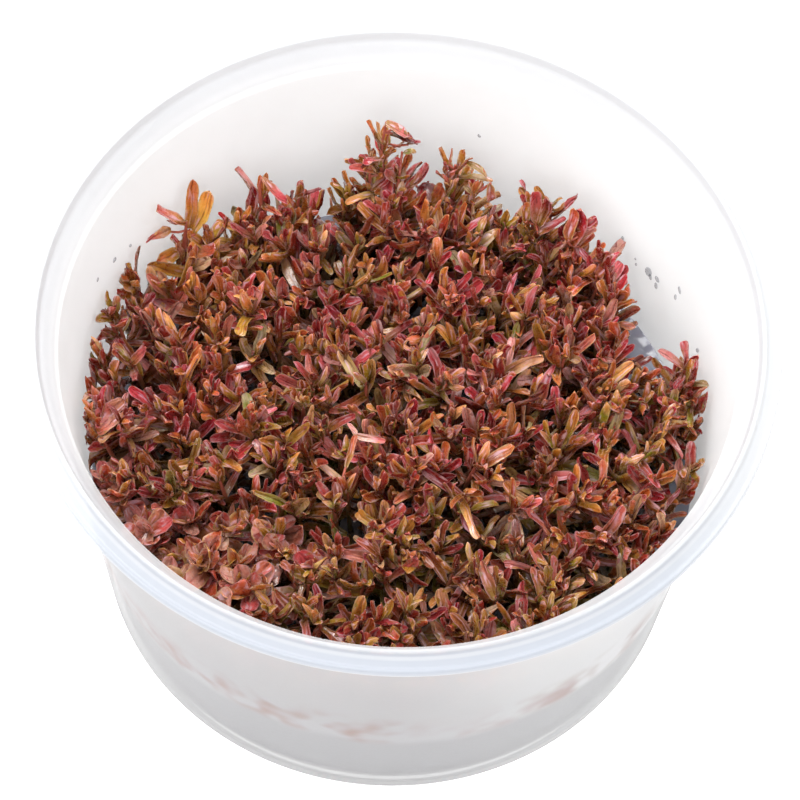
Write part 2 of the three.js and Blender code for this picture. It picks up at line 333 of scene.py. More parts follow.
def cupMaterial():
    material, wire, shader = newMaterial("frostedCupPlastic")
    paint = cupPaint
    place = objectPlace(wire)
    x, y, height = coordinates(wire, place)
    far = fromAxis(wire, x, y)
    haze = noise(wire, place, 55.0, 2.0, 0.6)
    grain = noise(wire, place, 2600.0, 0.0)
    crest = stepUp(wire, height, *paint["crest"])    # the thicker plastic of the rim hides more
    foot = 1 - stepUp(wire, height, *paint["foot"])
    outside = stepUp(wire, far - height * paint["lean"], *paint["outside"]) * (1 - crest)
    # painted shade: the outer skin gets a grey tone, darker on the left than on the right
    shade = mixed(wire, stepUp(wire, x, *paint["shadeX"]), paint["leftPaintedShade"], paint["rightPaintedShade"])
    skin = mixed(wire, outside, ramp(wire, haze, paint["frost"]), shade)
    # painted shade: below the gel line the wall is greyed, standing for the darker, shaded gel seen through it
    line = height + (haze - 0.5) * paint["gelWave"]
    above = stepUp(wire, line, *paint["gelLine"])
    skin = mixed(wire, (1 - above) * outside * paint["gelShare"], skin, paint["gelShadeGrey"])
    # painted shadows: just above the gel, the leaves behind the wall show as soft darker blotches painted on it
    near = noise(wire, place, 42.0, 1.0) + (1 - stepUp(wire, x, *paint["leafLeft"])) * 0.2
    patch = stepUp(wire, near, *paint["leafNear"])
    patch = patch * stepUp(wire, noise(wire, place, 210.0, 1.0, 0.6), *paint["leafPatch"])
    patch = patch * (1 - stepUp(wire, y, *paint["leafFront"]) * 0.6)
    leafy = above * (1 - stepUp(wire, line, *paint["leafTop"])) * patch * outside * paint["leafShare"]
    skin = mixed(wire, leafy, skin, mixed(wire, grain, paint["leafBrown"], paint["leafPink"]))
    # the rim: its bead, the foot of the bead and the lower lip get painted highlights, lighter lines where they would
    # catch more light
    # painted shade: the rim is darker and bluer at the front than at the back
    rim = mixed(wire, stepUp(wire, y * -1, *paint["rimY"]), paint["rimBack"], paint["rimFrontShade"])
    bead = stepUp(wire, height, *paint["beadTop"])
    bead = bead + stepUp(wire, far, *paint["beadFoot"]) * (1 - stepUp(wire, far, *paint["beadEnd"]))
    lip = stepUp(wire, far, *paint["lipEdge"]) * (1 - stepUp(wire, height, *paint["lipTop"]))
    rim = mixed(wire, bead * 0.8 + lip, rim, paint["beadHighlightTone"])
    # painted shade: a darker band at the inner edge of the rim, for the dark plants seen through it
    rim = mixed(wire, 1 - stepUp(wire, far, *paint["innerRim"]), rim, paint["innerRimShade"])
    hides = outside * paint["outsideAlpha"] + crest * paint["crestAlpha"] + foot * paint["footAlpha"]
    feed(wire, shader, {
        "Base Color": mixed(wire, crest, skin, rim), "Roughness": 0.27 + haze * 0.1 + grain * 0.05,
        "Normal": bumped(wire, grain, 0.1, 0.06 * mm),
        "Alpha": paint["alpha"] + hides + haze * paint["hazeAlpha"], "IOR": 1.4, "Specular IOR Level": 0.4})
    return material


def dropMaterial():
    material, wire, shader = newMaterial("wallDropWater")
    grain = noise(wire, objectPlace(wire), 3000.0, 1.0)
    # the grey base is painted shade, standing for the darker view the drops refract
    feed(wire, shader, {
        "Base Color": mixed(wire, grain, tone(142, 144, 150), tone(182, 184, 190)),
        "Roughness": 0.04 + grain * 0.04, "Alpha": 0.5, "Transmission Weight": 0.4, "IOR": 1.33})
    return material


gelPaint = {
    "clear": [(0.3, 160, 160, 180), (0.7, 196, 198, 214)], "litterAndShade": [(0.35, 50, 30, 12), (0.6, 84, 56, 22)],
    "plantedEdge": (36.5 * mm, 39.5 * mm), "plantedHeight": (12 * mm, 19 * mm), "litterAndShadeShare": 0.92,
    "notch": (36 * mm, 19.5 * mm, 21 * mm), "notchEdge": (4.5 * mm, 8.0 * mm),    # bare gel at the right
}


def gelMaterial():
    material, wire, shader = newMaterial("cultureGelClear")
    paint = gelPaint
    place = objectPlace(wire)
    x, y, z = coordinates(wire, place)
    cloud = noise(wire, place, 90.0, 4.0, 0.55)
    fine = noise(wire, place, 700.0, 2.0)
    edge = fromAxis(wire, x, y) + (cloud - 0.5) * 4 * mm
    planted = (1 - stepUp(wire, edge, *paint["plantedEdge"])) * stepUp(wire, z, *paint["plantedHeight"])
    notch = wire.vector("LENGTH", wire.vector("SUBTRACT", place, paint["notch"]), output="Value")
    planted = planted * stepUp(wire, notch + (cloud - 0.5) * 3 * mm, *paint["notchEdge"])
    # under the plants the gel is painted dark brown: partly fallen leaves and roots, partly painted shade under the
    # bed
    skin = mixed(wire, planted * paint["litterAndShadeShare"], ramp(wire, cloud, paint["clear"]),
                 ramp(wire, fine, paint["litterAndShade"]))
    feed(wire, shader, {
        "Base Color": skin, "Roughness": 0.05 + fine * 0.07,
        "Normal": bumped(wire, cloud + fine * 0.2, 0.35, 0.5 * mm),
        "Alpha": 0.93, "Transmission Weight": 0.4, "IOR": 1.34, "Specular IOR Level": 0.15,
        "Coat Weight": (1 - planted) * 0.5, "Coat Roughness": 0.05})
    return material


leafSkins = {slot: leafMaterial("rotala" + slot.split("_")[0].title() + "Leaf", look)
             for slot, look in leafLooks.items()}
stemSkin, cupSkin, gelSkin, dropSkin = stemMaterial(), cupMaterial(), gelMaterial(), dropMaterial()
print("materials made")


# geometry trees

def newTree(name, sizes):
    tree = bpy.data.node_groups.new(name, "GeometryNodeTree")
    tree.interface.new_socket("Geometry", in_out="INPUT", socket_type="NodeSocketGeometry")
    for label, (kind, value) in sizes.items():
        socket = tree.interface.new_socket(label, in_out="INPUT", socket_type="NodeSocket" + kind)
        if value is not None:
            socket.default_value = value
    tree.interface.new_socket("Geometry", in_out="OUTPUT", socket_type="NodeSocketGeometry")
    start = tree.nodes.new("NodeGroupInput")
    return tree, Wire(tree), {s.name: Wire(tree, s) for s in start.outputs if s.name}


def endTree(wire, geometry, *finishes):
    # each finish comes with the faces that get it
    geometry = wire.node("GeometryNodeSetShadeSmooth", {}, {"Geometry": geometry})
    geometry = wire.node("GeometryNodeRealizeInstances", {}, {"Geometry": geometry})
    for finish, faces in finishes:
        geometry = wire.node("GeometryNodeSetMaterial", {}, {
            "Geometry": geometry, "Selection": faces, "Material": finish})
    end = wire.tree.nodes.new("NodeGroupOutput")
    wire.tree.links.new(geometry.socket, end.inputs[0])


def named(wire, name, kind="FLOAT"):
    return wire.node("GeometryNodeInputNamedAttribute", {"data_type": kind}, {"Name": name}, "Attribute")


def chance(wire, low, high, seed):
    return wire.node("FunctionNodeRandomValue", {"data_type": "FLOAT"},
                     {"Min_001": low, "Max_001": high, "Seed": seed}, "Value_001")


def less(wire, first, second):
    return wire.node("FunctionNodeCompare", {"data_type": "FLOAT", "operation": "LESS_THAN"},
                     {0: first, 1: second})


def rotation(wire, angles):
    return wire.node("FunctionNodeEulerToRotation", {}, {0: angles})


def joined(wire, first, second):
    both = wire.node("GeometryNodeJoinGeometry", {}, {0: first})
    wire.tree.links.new(second.socket, both.socket.node.inputs[0])
    return both


def plainObject(name, vertices, edges=(), faces=()):
    mesh = bpy.data.meshes.new(name)
    mesh.from_pydata([tuple(v) for v in vertices], edges, faces)
    made = bpy.data.objects.new(name, mesh)
    scene.collection.objects.link(made)
    return made


def writeAttribute(thing, label, kind, values, domain="POINT"):
    field = "vector" if kind == "FLOAT_VECTOR" else "value"
    thing.data.attributes.new(label, kind, domain).data.foreach_set(field, values)


def runTree(thing, tree, values):
    modifier = thing.modifiers.new(tree.name, "NODES")
    modifier.node_group = tree
    for item in tree.interface.items_tree:
        if item.item_type == "SOCKET" and item.in_out == "INPUT" and item.name in values:
            modifier[item.identifier] = values[item.name]
    depsgraph = bpy.context.evaluated_depsgraph_get()
    plain = bpy.data.meshes.new_from_object(
        thing.evaluated_get(depsgraph), preserve_all_data_layers=True, depsgraph=depsgraph)
    thing.modifiers.clear()
    old, thing.data = thing.data, plain
    bpy.data.meshes.remove(old)
    plain.name = thing.name


def facesOut(thing):
    work = bmesh.new()
    work.from_mesh(thing.data)
    bmesh.ops.remove_doubles(work, verts=work.verts, dist=1e-6)
    bmesh.ops.recalc_face_normals(work, faces=work.faces)
    work.to_mesh(thing.data)
    work.free()


# the cup and its gel

def turnedTree():
    # a closed profile, given as a row of points, turned about the upright axis
    tree, wire, size = newTree("turnedPiece", {
        "Rows": ("Int", 10), "Sides": ("Int", 96), "Finish": ("Material", None)})
    grid = wire.node("GeometryNodeMeshGrid", {}, {
        "Size X": 1.0, "Size Y": 1.0, "Vertices X": size["Sides"] + 1, "Vertices Y": size["Rows"]})
    across, up, _ = coordinates(wire, wire.node("GeometryNodeInputPosition"))
    turn = (across + 0.5) * math.tau
    row = wire.math("ROUND", (up + 0.5) * (size["Rows"] - 1))
    spot = wire.node("GeometryNodeSampleIndex", {"data_type": "FLOAT_VECTOR"}, {
        "Geometry": size["Geometry"], "Value": wire.node("GeometryNodeInputPosition"), "Index": row})
    radius, _, height = coordinates(wire, spot)
    placed = combined(wire, radius * wire.math("COSINE", turn), radius * wire.math("SINE", turn), height)
    shell = wire.node("GeometryNodeSetPosition", {}, {"Geometry": grid, "Position": placed})
    shell = wire.node("GeometryNodeMergeByDistance", {}, {"Geometry": shell, "Distance": 1e-6})
    endTree(wire, shell, (size["Finish"], True))
    return tree


def rounded(corners, steps=3):
    # corners are (radius, height, rounding) in mm
    path = []
    for i, (r, z, soft) in enumerate(corners):
        here = Vector((r, z))
        if soft <= 0 or i in (0, len(corners) - 1):
            path.append(here)
            continue
        before, after = Vector(corners[i - 1][:2]) - here, Vector(corners[i + 1][:2]) - here
        reach = min(soft, before.length * 0.48, after.length * 0.48)
        a, b = here + before.normalized() * reach, here + after.normalized() * reach
        for k in range(steps + 1):
            t = k / steps
            path.append(a * (1 - t) ** 2 + here * (2 * t * (1 - t)) + b * t ** 2)
    return [(p.x * mm, 0.0, p.y * mm) for p in path]


def turned(name, corners, sides, finish):
    row = rounded(corners)
    piece = plainObject(name, row)
    runTree(piece, turnedPiece, {"Rows": len(row), "Sides": sides, "Finish": finish})
    facesOut(piece)
    return piece


turnedPiece = turnedTree()

cup = {    # mm
    "wallFoot": 41.2, "wallTop": 45.4, "shoulder": 52.2, "footRound": 1.1, "wall": 0.8,
    "rim": 50.0, "height": 57.0, "floor": 1.7, "sides": 192,
}
cup["slope"] = (cup["wallTop"] - cup["wallFoot"]) / (cup["shoulder"] - cup["footRound"])


def wallAt(z):
    # outside radius of the wall at a height, in mm
    return cup["wallFoot"] + cup["slope"] * (z - cup["footRound"])


cupPiece = turned("frostedCup", [
    (0, 0.9, 0), (37.3, 0.9, 0.3), (37.9, 0, 0.35), (40.1, 0, 0.5), (cup["wallFoot"], 1.1, 0.8),
    (wallAt(51.4), 51.4, 0.5), (46.5, 52.6, 0.6), (47.4, 55.3, 0.5), (49.3, 54.85, 0.4), (cup["rim"], 54.75, 0.2),
    (cup["rim"], 55.7, 0.2), (49.75, 55.95, 0.2), (49.3, 55.75, 0.3), (48.1, 56.35, 0.4),
    (47.75, cup["height"], 0.35), (47.3, cup["height"], 0.35), (46.95, 55.7, 0.4), (46.4, 55.0, 0.4),
    (44.65, 52.2, 0.25), (wallAt(2.7) - cup["wall"], 2.9, 0.9), (39.5, cup["floor"], 1.2), (0, cup["floor"], 0),
], cup["sides"], cupSkin)
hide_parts("cup")
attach(cupPiece, "root")

gel = {"bottom": 2.0, "top": 21.2, "gap": 0.04, "footRadius": 38.6, "footTop": 3.6, "sides": 128}    # mm


def gelWall(z):
    return wallAt(z) - cup["wall"] - gel["gap"]


# the surface climbs a little to the wall
gelPiece = turned("cultureGel", [
    (0, gel["bottom"], 0), (gel["footRadius"], gel["bottom"], 0.6), (gelWall(gel["footTop"]), gel["footTop"], 0.8),
    (gelWall(gel["top"]), gel["top"], 0.1), (gelWall(gel["top"]) - 0.5, gel["top"] - 0.15, 0.4),
    (gelWall(gel["top"]) - 1.6, gel["top"] - 0.4, 0.8), (0, gel["top"] - 0.45, 0)], gel["sides"], gelSkin)
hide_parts("culture_gel")
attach(gelPiece, "root")
print("cup and gel turned")


# water drops on the inner wall

def dropTree():
    tree, wire, size = newTree("wallDropRow", {"Roundness": ("Int", 2), "Finish": ("Material", None)})
    ball = wire.node("GeometryNodeMeshIcoSphere", {}, {"Radius": 1.0, "Subdivisions": size["Roundness"]})
    row = wire.node("GeometryNodeInstanceOnPoints", {}, {
        "Points": size["Geometry"], "Instance": ball, "Scale": named(wire, "span", "FLOAT_VECTOR"),
        "Rotation": rotation(wire, named(wire, "turn", "FLOAT_VECTOR"))})
    endTree(wire, row, (size["Finish"], True))
    return tree


drops = {
    "width": 0.5, "sunk": 0.06, "flat": 0.4, "wide": (0.7, 1.1), "tall": (0.9, 1.7), "lean": 0.6, "seed": 12,
    # angle round the cup, height in mm, size
    "places": [
        (44.6, 34.7, 0.6), (40.5, 33.1, 0.5), (40.0, 32.2, 0.5), (36.6, 33.4, 1.5), (35.8, 32.9, 0.9),
        (34.0, 34.0, 1.0), (33.8, 32.6, 0.9), (27.5, 37.7, 0.8), (28.0, 35.5, 0.8), (16.6, 34.6, 0.9),
        (77.3, 40.3, 0.6), (151.1, 39.3, 0.6), (156.1, 40.6, 0.9), (162.3, 42.1, 0.6)],
}
dice = random.Random(drops["seed"])
spots, spans, turns = [], [], []
for angle, height, share in drops["places"]:
    angle, share = math.radians(angle), share * drops["width"]
    far = wallAt(height) - cup["wall"] - drops["sunk"]
    spots.append(Vector((far * math.cos(angle), far * math.sin(angle), height)) * mm)
    spans += [share * drops["flat"] * mm, share * dice.uniform(*drops["wide"]) * mm,
              share * dice.uniform(*drops["tall"]) * mm]
    turns += [dice.uniform(-drops["lean"], drops["lean"]), 0.0, angle]
dropPiece = plainObject("wallDrops", spots)
writeAttribute(dropPiece, "span", "FLOAT_VECTOR", spans)
writeAttribute(dropPiece, "turn", "FLOAT_VECTOR", turns)
runTree(dropPiece, dropTree(), {"Roundness": 2, "Finish": dropSkin})
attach(dropPiece, "root")
print("drops set on the wall:", len(drops["places"]))


# leaf blades, drawn one long and one wide and placed by the tree

outlines = {
    # how far along the leaf, and half its width, the widest being one half
    "strap": [(0, .2), (.08, .35), (.2, .45), (.4, .5), (.65, .5), (.84, .46), (.94, .36), (.985, .22), (1, .07)],
    "spoon": [(0, .14), (.12, .22), (.3, .36), (.5, .46), (.7, .5), (.84, .47), (.93, .36), (.98, .22), (1, .08)],
    "lance": [(0, .2), (.1, .36), (.24, .47), (.42, .5), (.62, .48), (.78, .4), (.9, .26), (.97, .13), (1, .03)],
    "blunt": [(0, .22), (.08, .36), (.22, .46), (.42, .5), (.66, .5), (.86, .48), (.95, .42), (.985, .32), (1, .18)],
}
leafForms = {
    # outline, bend towards the tip of the shoot in degrees, fold, twist in degrees, wave of the rims
    "bladeA": ("lance", 60, 0.34, 6, 0.00),
    "bladeB": ("strap", 38, 0.40, -10, 0.01),
    "bladeC": ("strap", 10, 0.44, 12, 0.01),
    "bladeD": ("strap", -34, 0.32, -18, 0.015),
    "bladeE": ("blunt", 22, 0.42, 26, 0.015),
    "bladeF": ("strap", -16, 0.62, -30, 0.01),
    "bladeG": ("spoon", 26, 0.22, 14, 0.04),
    "bladeH": ("blunt", -8, 0.24, -46, 0.03),
    "bladeI": ("strap", 56, 0.50, 44, 0.01),
    "bladeJ": ("blunt", -44, 0.28, -14, 0.04),
    "bladeK": ("strap", -105, 0.30, 8, 0.01),
    "bladeL": ("blunt", 150, 0.50, 20, 0.02),
}
aspect, thickness = 0.22, 0.045    # of a drawn blade, its length being one


def bladeObject(name, outline, bend, fold, twist, wave):
    vertices, sides, acrosses, alongs = [], [], [], []
    place, lastU = Vector((0, 0, 0)), 0.0
    for u, half in outlines[outline]:
        angle = math.radians(bend) * u ** 1.3
        middle = math.radians(bend) * ((u + lastU) / 2) ** 1.3
        place = place + Vector((math.cos(middle), 0, math.sin(middle))) * (u - lastU)
        lastU = u
        up = Vector((-math.sin(angle), 0, math.cos(angle)))
        roll = Matrix.Rotation(math.radians(twist) * u, 3, Vector((math.cos(angle), 0, math.sin(angle))))
        side, lift = roll @ Vector((0, 1, 0)), roll @ up
        half *= aspect
        ripple = wave * math.sin(u * 9 + len(name) * 2)
        thick = thickness * (1.4 - u) if u < 0.5 else thickness * 0.9
        rise = fold * half * 1.45
        back = Vector((0.02 if outline == "blunt" and u == 1 else 0, 0, 0))    # a blunt tip is notched
        for sideways, height, top, off in ((-half, rise + ripple, 0.5, -1), (0, thick / 2 - rise * 0.4, 1, 0),
                                           (half, rise - ripple, 0.5, 1), (0, -thick / 2 - rise * 0.4, 0, 0)):
            vertices.append(place + side * sideways + lift * height - back * (1 - abs(off)))
            sides.append(top), acrosses.append(off), alongs.append(u)
    last = 4 * (len(outlines[outline]) - 1)
    faces = [(i + k, i + (k + 1) % 4, i + 4 + (k + 1) % 4, i + 4 + k) for i in range(0, last, 4) for k in range(4)]
    faces += [(3, 2, 1, 0), tuple(last + k for k in range(4))]
    blade = plainObject(name, vertices, (), faces)
    for edge in blade.data.edges:    # the midrib and both rims are creases
        a, b = edge.vertices
        edge.use_edge_sharp = abs(a - b) == 4 and a % 4 != 3
    for label, values in (("leafSide", sides), ("leafAcross", acrosses), ("leafAlong", alongs)):
        writeAttribute(blade, label, "FLOAT", values)
    writeAttribute(blade, "isLeaf", "BOOLEAN", [True] * len(faces), "FACE")
    facesOut(blade)
    return blade


bladeShelf = bpy.data.collections.new("leafBlades")
for bladeName, form in leafForms.items():
    blade = bladeObject(bladeName, *form)
    scene.collection.objects.unlink(blade)
    bladeShelf.objects.link(blade)


growth = {
    "yawStray": (-0.8, 0.8), "riseStray": (-0.75, 0.5), "leanStray": (-1.1, 1.1), "riseCurve": 0.8,    # radians
    "gone": 0.18, "goneFrom": 0.1,    # share of the older leaves that have dropped, and from which age
    "tipSize": 0.6, "grownAt": 0.15, "lengthStray": (0.65, 1.2), "widthStray": (0.75, 1.2),
    "youngForms": 14, "oldForms": 0.13,    # young leaves take the first forms, and any form comes past this age
    "stir": [(230.0, 1.1 * mm), (850.0, 0.42 * mm)],    # scale and depth of the unevenness of every leaf
    "wallGap": 0.9 * mm, "wallGive": 0.1, "gelGive": 0.06,
}


def shootTree():
    tree, wire, size = newTree("rotalaShoots", {
        "Blades": ("Collection", None), "Leaf length": ("Float", 5.2 * mm), "Leaf width": ("Float", 1.5 * mm),
        "Rise at tip": ("Float", 1.15), "Rise low": ("Float", 0.3), "First form": ("Int", 2), "Last form": ("Int", 9),
        "Gel level": ("Float", 21.6 * mm), "Wall foot": ("Float", 40 * mm), "Wall slope": ("Float", 0.08),
        "Tint low": ("Float", 0.0), "Tint high": ("Float", 1.0),
        "Leaf finish": ("Material", None), "Stem finish": ("Material", None), "Seed": ("Int", 1)})
    curves = wire.node("GeometryNodeMeshToCurve", {}, {"Mesh": size["Geometry"]})
    ring = wire.node("GeometryNodeCurvePrimitiveCircle", {}, {"Resolution": 6, "Radius": 1.0})
    stems = wire.node("GeometryNodeCurveToMesh", {}, {
        "Curve": curves, "Profile Curve": ring, "Scale": named(wire, "thick"), "Fill Caps": True})
    # two leaves at each knot, but not on the bare parts of a stem
    knots = wire.node("GeometryNodeCurveToPoints", {"mode": "EVALUATED"}, {"Curve": curves})
    upward = wire.vector("MULTIPLY", knots.other("Tangent"), (-1, -1, -1))    # the points run down the stem
    leafy = wire.node("GeometryNodeDeleteGeometry", {"domain": "POINT"}, {
        "Geometry": knots, "Selection": less(wire, named(wire, "leafy"), 0.5)})
    pairs = wire.node("GeometryNodeDuplicateElements", {"domain": "POINT"}, {"Geometry": leafy, "Amount": 2})
    second = pairs.other("Duplicate Index")
    age, seed = named(wire, "leafAge"), size["Seed"]
    older = wire.math("GREATER_THAN", age, growth["goneFrom"])
    lost = less(wire, chance(wire, 0.0, 1.0, seed + 11), growth["gone"] * older)
    yaw = named(wire, "turn") + second * math.pi + chance(wire, *growth["yawStray"], seed)
    rise = size["Rise at tip"] + (size["Rise low"] - size["Rise at tip"]) * (age ** growth["riseCurve"])
    rise = rise + chance(wire, *growth["riseStray"], seed + 1)
    lean = combined(wire, chance(wire, *growth["leanStray"], seed + 2), rise * -1, yaw)
    along = wire.node("FunctionNodeAlignRotationToVector", {"axis": "Z"}, {"Vector": upward})
    turn = wire.node("FunctionNodeRotateRotation", {"rotation_space": "LOCAL"}, {
        "Rotation": along, "Rotate By": rotation(wire, lean)})
    grown = growth["tipSize"] + (1 - growth["tipSize"]) * stepUp(wire, age, 0.0, growth["grownAt"])
    grown = grown * chance(wire, *growth["lengthStray"], seed + 3)
    length = size["Leaf length"] * grown
    width = size["Leaf width"] * (grown * 0.5 + 0.5) * chance(wire, *growth["widthStray"], seed + 4)
    anyForm = wire.node("FunctionNodeRandomValue", {"data_type": "INT"}, {
        "Min_002": size["First form"], "Max_002": size["Last form"], "Seed": seed + 5}, "Value_002")
    young = wire.math("FLOOR", age * growth["youngForms"] + chance(wire, 0.0, 2.0, seed + 6))
    form = wire.math("MINIMUM", anyForm, young + anyForm * wire.math("GREATER_THAN", age, growth["oldForms"]))
    for name, low, high, add in (("leafTint", size["Tint low"], size["Tint high"], 7), ("leafLuck", 0.0, 1.0, 8)):
        pairs = wire.node("GeometryNodeStoreNamedAttribute", {"data_type": "FLOAT", "domain": "POINT"}, {
            "Geometry": pairs, "Name": name, "Value": chance(wire, low, high, seed + add)})
    pairs = wire.node("GeometryNodeDeleteGeometry", {"domain": "POINT"}, {"Geometry": pairs, "Selection": lost})
    shelf = wire.node("GeometryNodeCollectionInfo", {}, {
        "Collection": size["Blades"], "Separate Children": True, "Reset Children": True})
    leaves = wire.node("GeometryNodeInstanceOnPoints", {}, {
        "Points": pairs, "Instance": shelf, "Pick Instance": True, "Instance Index": form, "Rotation": turn,
        "Scale": combined(wire, length, width / aspect, length)})
    # and the leaves that have a seat of their own
    seats = wire.node("GeometryNodeMeshToPoints", {"mode": "VERTICES"}, {
        "Mesh": size["Geometry"], "Selection": named(wire, "seat", "BOOLEAN")})
    single = wire.node("GeometryNodeInstanceOnPoints", {}, {
        "Points": seats, "Instance": shelf, "Pick Instance": True,
        "Instance Index": named(wire, "seatForm", "INT"),
        "Rotation": rotation(wire, named(wire, "seatTurn", "FLOAT_VECTOR")),
        "Scale": named(wire, "seatSize", "FLOAT_VECTOR")})
    leaves = wire.node("GeometryNodeRealizeInstances", {}, {"Geometry": joined(wire, leaves, single)})
    for scale, depth in growth["stir"]:
        stir = wire.node("ShaderNodeTexNoise", {}, {"Scale": scale, "Detail": 0.0}, "Color")
        stir = wire.node("ShaderNodeVectorMath", {"operation": "SCALE"}, {
            0: wire.vector("SUBTRACT", stir, (0.5, 0.5, 0.5)), "Scale": depth})
        leaves = wire.node("GeometryNodeSetPosition", {}, {"Geometry": leaves, "Offset": stir})
    # leaves lie against the wall and on the gel, not through them
    x, y, z = coordinates(wire, wire.node("GeometryNodeInputPosition"))
    far = fromAxis(wire, x, y)
    limit = size["Wall foot"] + size["Wall slope"] * z - growth["wallGap"]
    near = wire.math("MINIMUM", far, limit + (far - limit) * growth["wallGive"])
    pull = near / wire.math("MAXIMUM", far, 1e-5)
    raised = wire.math("MAXIMUM", z, size["Gel level"] + (z - size["Gel level"]) * growth["gelGive"])
    leaves = wire.node("GeometryNodeSetPosition", {}, {
        "Geometry": leaves, "Position": combined(wire, x * pull, y * pull, raised)})
    endTree(wire, joined(wire, leaves, stems), (size["Stem finish"], True),
            (size["Leaf finish"], named(wire, "isLeaf", "BOOLEAN")))
    return tree


# the planting

rotala = {
    "spacing": 2.45, "bedCentre": (-1.2, -1.7), "bedRadius": 38.4, "flare": 1.07,    # mm between stems, and their bed
    "bare": [(35.4, 19.6, 6.0), (-21, 33.5, 3.0), (-20, 5, 2.0), (-11, -26, 2.0), (-32, -2, 1.8), (-2, -12, 2.0),
             (-18, -8, 1.9), (15, -18, 1.9), (35, -11, 2.6), (-6.7, 35, 2.0)],    # x, y and radius of the gaps
    "tries": 24000, "clumpReach": 8.0, "wallRoom": 1.6, "tipStray": 1.9,
    "company": 2, "companyStray": 2.2,    # lower stems beside each tall one
    "internodes": [0.8, 1.1, 1.4, 1.7, 1.9, 2.1, 2.2, 2.3, 2.4, 2.5],    # from the tip down, mm
    "oldAt": {"tall": 22.0, "company": 20.0, "bed": 15.0},    # mm below the tip
    "stem": 0.34, "crown": 2.8,    # crown: leaf tips above the tip of their stem
    "gelDepth": 7.0, "lowestLeaf": 22.6, "seed": 4107,
}
slimLeaves = {"length": 6.4, "width": 1.45, "rise": 1.35, "firstForm": 2, "tint": (0.0, 1.0)}
broadLeaves = {"length": 4.9, "width": 2.9, "rise": 0.7, "firstForm": 6, "tint": (0.38, 0.68)}    # front left
broadCorner = -14    # clumps left of this and in front of it have them
tallShoots = {
    # the stems that stand up at the back and the right: how long and wide their leaves are,
    # their tips in mm, and how much of each tip has only single leaves
    "clump_44": {
        "length": 6.2, "width": 1.7,
        "tips": [(-30.8, 26.2, 38.2, 5.0), (-32.6, 16.4, 31.0, 3.0), (-37.6, 17.2, 36.0, 0),
                 (-29.5, 22.0, 31.0, 0)]},
    "clump_36": {
        "length": 6.2, "width": 1.4,
        "tips": [(-23.6, 28.5, 36.5, 4.0), (-27.0, 26.0, 30.5, 0), (-26.0, 22.5, 31.5, 0)]},
    "clump_49": {
        "length": 5.8, "width": 1.3,
        "tips": [(-20.9, 31.8, 40.5, 3.0), (-15.4, 33.4, 36.0, 2.0), (-18.4, 30.0, 33.5, 0),
                 (-13.8, 31.4, 34.0, 0)]},
    "clump_41": {
        "length": 5.4, "width": 1.3,
        "tips": [(-4.0, 37.0, 45.4, 2.0), (-5.6, 35.6, 39.6, 1.5), (-8.8, 34.8, 34.6, 0),
                 (-1.4, 35.2, 40.6, 0), (-2.6, 33.0, 34.6, 0), (-9.4, 33.0, 32.4, 0)]},
    "clump_46": {
        "length": 5.4, "width": 1.3,
        "tips": [(6.4, 37.0, 40.6, 2.0), (9.4, 35.0, 36.6, 0), (3.2, 34.6, 35.2, 0), (5.6, 33.0, 34.4, 0),
                 (9.8, 32.0, 33.2, 0)]},
    "clump_38": {
        "length": 6.4, "width": 1.35,
        "tips": [(17.2, 32.0, 37.2, 0), (20.4, 32.8, 37.6, 0), (22.6, 30.6, 35.0, 0), (17.6, 29.6, 33.6, 0),
                 (14.0, 31.6, 33.0, 0)]},
    "clump_51": {
        "length": 5.8, "width": 1.4,
        "tips": [(24.4, 28.8, 36.6, 0), (27.6, 25.2, 36.2, 0), (24.6, 25.4, 33.4, 0), (27.4, 23.4, 32.6, 0)]},
    "clump_43": {
        "length": 5.4, "width": 1.25,
        "tips": [(39.6, 8.6, 38.0, 1.5), (40.4, 5.4, 38.2, 1.5), (40.8, 3.6, 35.4, 0), (38.0, 2.6, 33.4, 0),
                 (39.0, 9.4, 33.4, 0), (36.4, 6.4, 32.2, 0)]},
}
